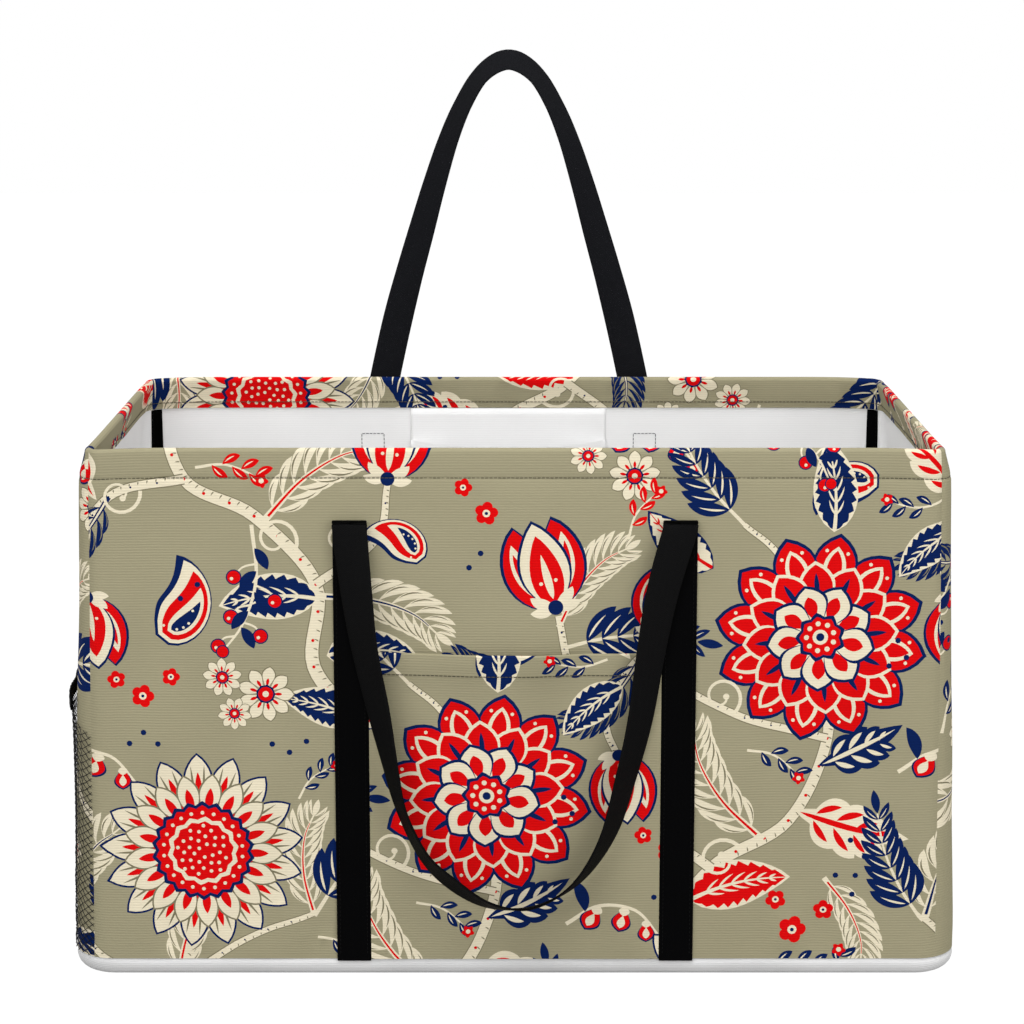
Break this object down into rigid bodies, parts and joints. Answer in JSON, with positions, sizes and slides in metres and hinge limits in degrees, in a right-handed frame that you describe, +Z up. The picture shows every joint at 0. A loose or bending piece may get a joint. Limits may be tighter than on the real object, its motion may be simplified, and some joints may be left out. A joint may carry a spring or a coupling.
{
  "type": "utility tote bag",
  "caption": "Large open-top utility tote of printed cloth with a wired rim, webbing handles, slip pockets outside and inside, a net end pocket and a stiff white base.",
  "frame": {"origin": "centre of the base, on the floor", "axes": "+Z up, +X along the width, +Y from the front with the slip pocket to the back"},
  "size_m": [0.6404, 0.3526, 0.6405],
  "materials": {
    "printed_cloth": "fine ribbed polyester with a floral print, matte",
    "white_cloth": "plain white polyester, matte",
    "webbing": "black flat-woven webbing",
    "net": "black knitted net",
    "elastic": "black woven elastic",
    "tape": "black binding tape",
    "board": "matte sheet",
    "wire": "drawn spring wire"
  },
  "bodies": {
    "root": {"front_panel": "printed_cloth", "back_panel": "printed_cloth", "left_panel": "printed_cloth", "right_panel": "printed_cloth", "front_pocket": "printed_cloth", "base_panel": "white_cloth", "inner_pocket": "white_cloth", "base_board": "board", "rim_wire": "wire", "front_handle": "webbing", "back_handle": "webbing", "mesh_pocket": "net", "mesh_elastic": "elastic", "corner_tape_front_left": "tape", "corner_tape_front_right": "tape", "corner_tape_back_left": "tape", "corner_tape_back_right": "tape"}
  },
  "joints": []
}
